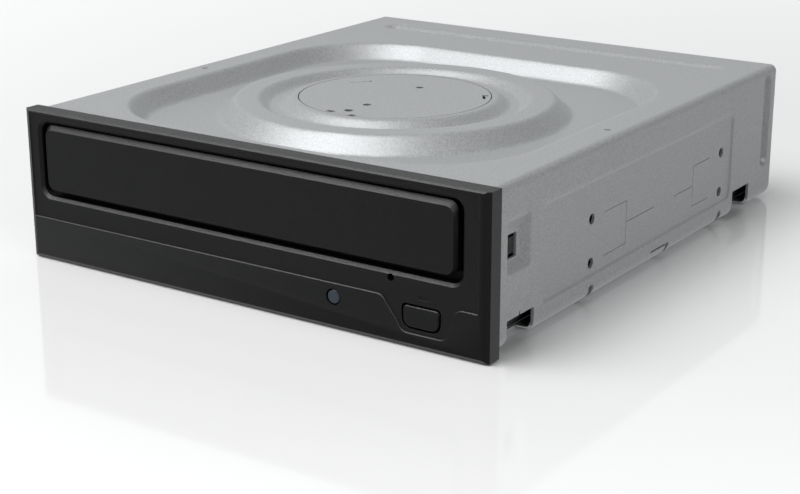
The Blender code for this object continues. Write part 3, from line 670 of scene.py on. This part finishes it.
def guide_lines(side):
    """Two brackets beside the screw holes, each with a stem towards the other, engraved on the panel."""
    low, high, level = 10.5, 22.4, 16.5
    lines = []
    brackets = ((66.8, (54.5, 66.5), (67.1, 83.0)), (108.0, (108.3, 118.5), (95.7, 107.7)))
    for upright, arms, stem in brackets:
        lines += [side_line(side, arms, (z, z)) for z in (high, low)]
        lines += [side_line(side, stem, (level, level)), side_line(side, (upright, upright), (low, high))]
    return lines


def side_cutters(side):
    """Holes, notches and engraved guide lines of one side."""
    outer = CASE_HALF + 1
    tools = [rod((side * (CASE_HALF - 0.5), d, z), SIDE_HOLE_R, 4.0, "X", 28)
             for d in SIDE_HOLES_D for z in SIDE_HOLES_Z]
    latch_slot = box(across(side, CASE_HALF - 6, outer), (7.4, 11.7), (22.0, 28.1))
    front = [(5.0, -1), (5.0, 7.6), (10.6, 7.6), (10.6, 8.6), (11.1, 8.6), (11.1, 7.6), (17.7, 7.6),
             (17.7, 2.6), (19.9, 0.5), (19.9, -1)]
    rear = [(135.7, -1), (135.7, 8.2), (147.6, 8.2), (147.6, 3.0), (149.6, 0.9), (149.6, -1)]
    notches = [slab(outline, across(side, 67.0, outer), "X") for outline in (front, rear)]
    for d in SIDE_HOLES_D:
        arch = [(d - 1.3, -1)] + arc(d, 3.3, 1.3, 180, 0, 10) + [(d + 1.3, -1)]
        notches.append(slab(arch, across(side, 67.6, outer), "X"))
    tab_slit = box(across(side, CASE_HALF - 4, outer), (81.8, 90.6), (3.7, 4.15))
    tab_relief = slab([(90.9, -1), (90.9, 3.9)] + arc(92.0, 3.3, 0.9, 140, 20, 6) + [(92.8, 1.6), (93.6, -1)],
                      across(side, 68.0, outer), "X")
    return tools + [latch_slot, *notches, tab_slit, tab_relief, *guide_lines(side)]


def make_case():
    mouth = CASE_TOP + 1
    dimple = [(0, mouth), (1.2, mouth), (0.85, CASE_TOP - 0.2), (0.85, CASE_TOP - 2), (0, CASE_TOP - 2)]
    tools = [rod((0, SPINDLE_D, CASE_TOP), CLAMP_R + 0.3, 6, "Z", 160)]
    for side in SIDES:
        tools += [turned(side * DIMPLE_X, DIMPLE_D, dimple, 24), *side_cutters(side)]
    case = place("case_shell", cut(case_sheet(), *tools), "zinc_steel", replaces=["top_cover"])
    smooth(case, 32)


def make_rear_wall():
    """The steel wall folded down behind the case, with its socket window, vents and earth dimple."""
    outline = round_rect((-71.4, 71.4), (CASE_BOTTOM + 0.5, CASE_TOP - 1.5), (1.2, 1.2, 3.2, 3.2))
    vents = [round_rect((6 + 9 * i, 12 + 9 * i), (8.0, 10.0), 0.99, 6) for i in range(6)]
    low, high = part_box("sata_connector")
    window = round_rect((low.x / MM - 0.5, high.x / MM + 0.5), (low.z / MM - 0.5, high.z / MM + 0.5), 0.6)
    wall = cut(slab(outline, (CASE_DEPTH - 1.3, CASE_DEPTH - 0.5), "Y"),
               *[slab(hole, (CASE_DEPTH - 3, CASE_DEPTH + 1), "Y") for hole in (window, *vents)])
    wall = weld(wall, rod((30, CASE_DEPTH - 0.6, 24), 5.0, 0.8, "Y", 48, 4.2),
                slab(round_rect((-52, -26), (22.5, 27.5), 2.4), (CASE_DEPTH - 0.95, CASE_DEPTH - 0.15), "Y"))
    soften(place("rear_wall", wall, "zinc_steel"), 0.15)


def make_clamp_plate():
    """The round plate flush in the ring, with small holes, a lanced slit and notches near its rim."""
    through = (30, 50)
    holes = [(0.3, SPINDLE_D + 12.2, 1.1), (0, SPINDLE_D - 13.6, 1.2), (-0.3, SPINDLE_D - 21.9, 1.3),
             (-16.2, SPINDLE_D + 11.1, 0.6)]
    slit = [(-20.1, 71.0), (-19.8, 70.8), (-16.5, 75.3), (-16.8, 75.5)]
    hook = [(20.3, 78.73), (21.72, 79.69), (22.51, 78.53), (21.72, 77.99), (23.51, 75.33), (22.88, 74.91)]
    notches = [((-5.0, -2.7), (38.9, 40.6)), ((2.9, 4.8), (37.8, 39.9))]
    scored_line = box((-2.4, 2.6), (39.3, 39.55), (CASE_TOP - 0.3, CASE_TOP + 1))
    cutters = [rod((x, d, CASE_TOP), radius, 6, sides=24) for x, d, radius in holes]
    cutters += [slab(outline, through) for outline in (slit, hook)]
    cutters += [box(x, d, through) for x, d in notches]
    plate = cut(slab(circle(0, SPINDLE_D, CLAMP_R, 160), (CASE_TOP - 0.42, CASE_TOP)), *cutters, scored_line)
    soften(place("clamp_plate_fine", plate, "zinc_steel", replaces=["clamp_plate"]), 0.05)
    lip = turned(0, SPINDLE_D, [(24.6, 40.0), (28.9, 40.0), (28.9, 39.5), (24.6, 39.5)])
    smooth(place("clamp_plate_lip", lip, "zinc_steel"))


# ------------------------------------------------------------ plastic front

BEZEL_HALF, BEZEL_T, BEZEL_H = 74.1, 5.4, 42.0
DOOR_POCKET = (-68.8, 66.5, 18.15, 38.85)
TRAY_MOUTH = (-66.6, 65.0, 20.6, 36.6)
DOOR = (-67.2, 64.8, 20.05, 38.35)
BUTTON_HOLE = (49.7, 60.9, 4.65, 11.0)
BUTTON = (50.2, 60.4, 5.15, 10.5)
LED_X, LED_Z, LED_R = 29.5, 8.25, 1.8
STEP = 0.22                      # how far the upper field of the bezel stands back
BEZEL_FRONT = -BEZEL_T
CORNER_X, CORNER_D = 1.7, 0.9    # chamfer down each side of the bezel
PINHOLE_X, PINHOLE_Z, PINHOLE_R = 46.5, 16.55, 0.95
WALL_BACK = (-3.0, 1.0)          # depths cut away behind the bezel's front wall


def upper_field():
    """Outline of the bezel's set-back upper field, which dips round the eject button."""
    return ([(-72.3, 41.0), (-72.3, 11.95)] + arc(42.5, 9.15, 2.8, 90, 35, 5)
            + [(48.0, 6.6)] + arc(51.4, 6.3, 2.7, 200, 270, 6)
            + arc(60.4, 6.3, 2.7, 270, 335, 6) + [(64.3, 9.4)] + arc(67.0, 9.3, 2.85, 150, 90, 5)
            + [(71.0, 12.15), (71.0, 41.0)])


def bezel_blank():
    """The bezel's bar with its front edges chamfered."""
    front, half = BEZEL_FRONT, BEZEL_HALF
    profile = [(front, 0.9), (front + 0.7, 0.0), (-0.15, 0.0), (-0.15, BEZEL_H), (front + 0.45, BEZEL_H),
               (front, BEZEL_H - 0.45)]
    corners = [slab([(side * (half - CORNER_X), front), (side * half, front + CORNER_D),
                     (side * (half + 1), front + CORNER_D), (side * (half + 1), front - 1),
                     (side * (half - CORNER_X), front - 1)], (-1, BEZEL_H + 1)) for side in SIDES]
    return cut(slab(profile, (-half, half), "X"), *corners)


def opened(bezel):
    """The bezel with its tray mouth, the hollow behind its lower wall, and its three small holes."""
    hollow = box((-72.2, 72.2), WALL_BACK, (1.7, 16.9))
    bezel = cut(bezel, box(TRAY_MOUTH[:2], WALL_BACK, TRAY_MOUTH[2:]), hollow)
    button_outline = round_rect(BUTTON_HOLE[:2], BUTTON_HOLE[2:], (1.2, 1.2, 2.7, 2.7))
    return cut(bezel, slab(button_outline, (BEZEL_FRONT - 1, 0), "Y"),
               rod((LED_X, -4, LED_Z), LED_R + 0.35, 5.0, "Y", 40),
               rod((PINHOLE_X, -4, PINHOLE_Z), PINHOLE_R, 5.0, "Y", 28))


def make_bezel():
    front, field = BEZEL_FRONT, upper_field()
    bezel = cut(bezel_blank(), loft(grown(field, 2 * STEP), field, (front - STEP, front + STEP), "Y"))
    pocket = round_rect(DOOR_POCKET[:2], DOOR_POCKET[2:], 2.8)
    bezel = cut(bezel, loft(grown(pocket, 1.6), pocket, (front + STEP - 0.8, front + STEP + 0.8), "Y"))
    bezel = cut(bezel, slab(pocket, (front - 1, -1.6), "Y"))
    bezel = opened(bezel)
    mark = [(54.0, 12.45), (57.6, 12.45), (55.8, 13.9)]
    inner = slab(grown(mark, -0.3), (front - 2, 0), "Y")
    bezel = cut(bezel, cut(slab(mark, (front - 1, front + STEP + 0.15), "Y"), inner))
    for side in SIDES:
        bezel = weld(bezel, box(across(side, 68.6, 69.8), (-1.0, 12.6), (22.8, 27.2)))
        bezel = weld(bezel, box(across(side, 69.5, 70.8), (8.0, 11.1), (22.9, 27.1)))
    soften(place("bezel_shell", bezel, "black_abs", replaces=["front_bezel"]), 0.12, 3)


def make_door():
    """The tray's front panel: a wide slope along its top that wraps both upper corners."""
    slope, side_taper = 1.3, 0.6
    front = BEZEL_FRONT + 0.1
    back = round_rect(DOOR[:2], DOOR[2:], 2.3)
    face = []
    for x, z in back:
        drop = slope if z > middle(DOOR[2:]) else -0.2
        face.append((x - math.copysign(side_taper, x - middle(DOOR[:2])), z - drop))
    door = weld(loft(face, back, (front, front + 1.2), "Y"), slab(back, (front + 1.19, -2.0), "Y"))
    for x in (-37.0, 37.0):
        door = weld(door, box((x - 3, x + 3), (-2.6, 7.5), (24.6, 25.9)))
        door = weld(door, box((x - 2.8, x + 2.8), (-2.6, -1.9), (22, 25.5)))
    soften(place("door_panel", door, "black_abs", "tray", ["tray_door"]), 0.2, 3)


def make_button():
    """The eject button: its cap, the flange that keeps it in, and the stem that reaches the switch."""
    x0, x1, z0, z1 = BUTTON
    cap = slab(round_rect((x0, x1), (z0, z1), (0.9, 0.9, 2.3, 2.3)), (BEZEL_FRONT, -2.2), "Y")
    cap = weld(cap, box((x0 - 0.9, x1 + 0.9), (-2.6, -1.6), (z0 - 0.9, z1 + 0.9)))
    cap = weld(cap, box((53.4, 57.0), (-1.9, 2.2), (6.4, 9.0)))
    soften(place("button_cap", cap, "black_abs", "eject_button", ["eject_button"]), 0.35, 4)


def make_led_lens():
    """Light pipe with a slightly domed face."""
    lens = rod((LED_X, -3.3, LED_Z), LED_R, 3.9, "Y", 48)
    soften(place("led_window", lens, "lens_blue", replaces=["led_lens"]), 0.3, 4)


# --------------------------------------------------------- everything inside

REMADE = ("top_cover", "clamp_plate", "front_bezel", "tray_door", "eject_button", "led_lens")
SLOTS = {entry["node"]: entry["material_slot"] for entry in frame["record"]["subparts"]}


def refine(name, body):
    """A part of the frame with its flat faces whole again and its edges rounded."""
    bm = bmesh.new()
    bm.from_mesh(frame["nodes"][name].data)
    bmesh.ops.remove_doubles(bm, verts=bm.verts, dist=WELD)
    bmesh.ops.dissolve_limit(bm, angle_limit=math.radians(0.5), verts=bm.verts, edges=bm.edges)
    mesh = mesh_of(bm, name)
    for stale in ("custom_normal", "sharp_edge"):
        if stale in mesh.attributes:
            mesh.attributes.remove(mesh.attributes[stale])
    soften(place(name + "_fine", mesh, SLOTS[name], body, [name]), 0.15, angle=45)


make_camera()
make_stage()
make_case()
make_rear_wall()
make_clamp_plate()
make_bezel()
make_door()
make_button()
make_led_lens()

for body, names in frame["record"]["behaviour"]["bodies"].items():
    for name in names:
        if name not in REMADE:
            refine(name, body)
for node in frame["nodes"].values():
    node.data.materials.clear()
    node.data.materials.append(LOOKS["dark_abs"])
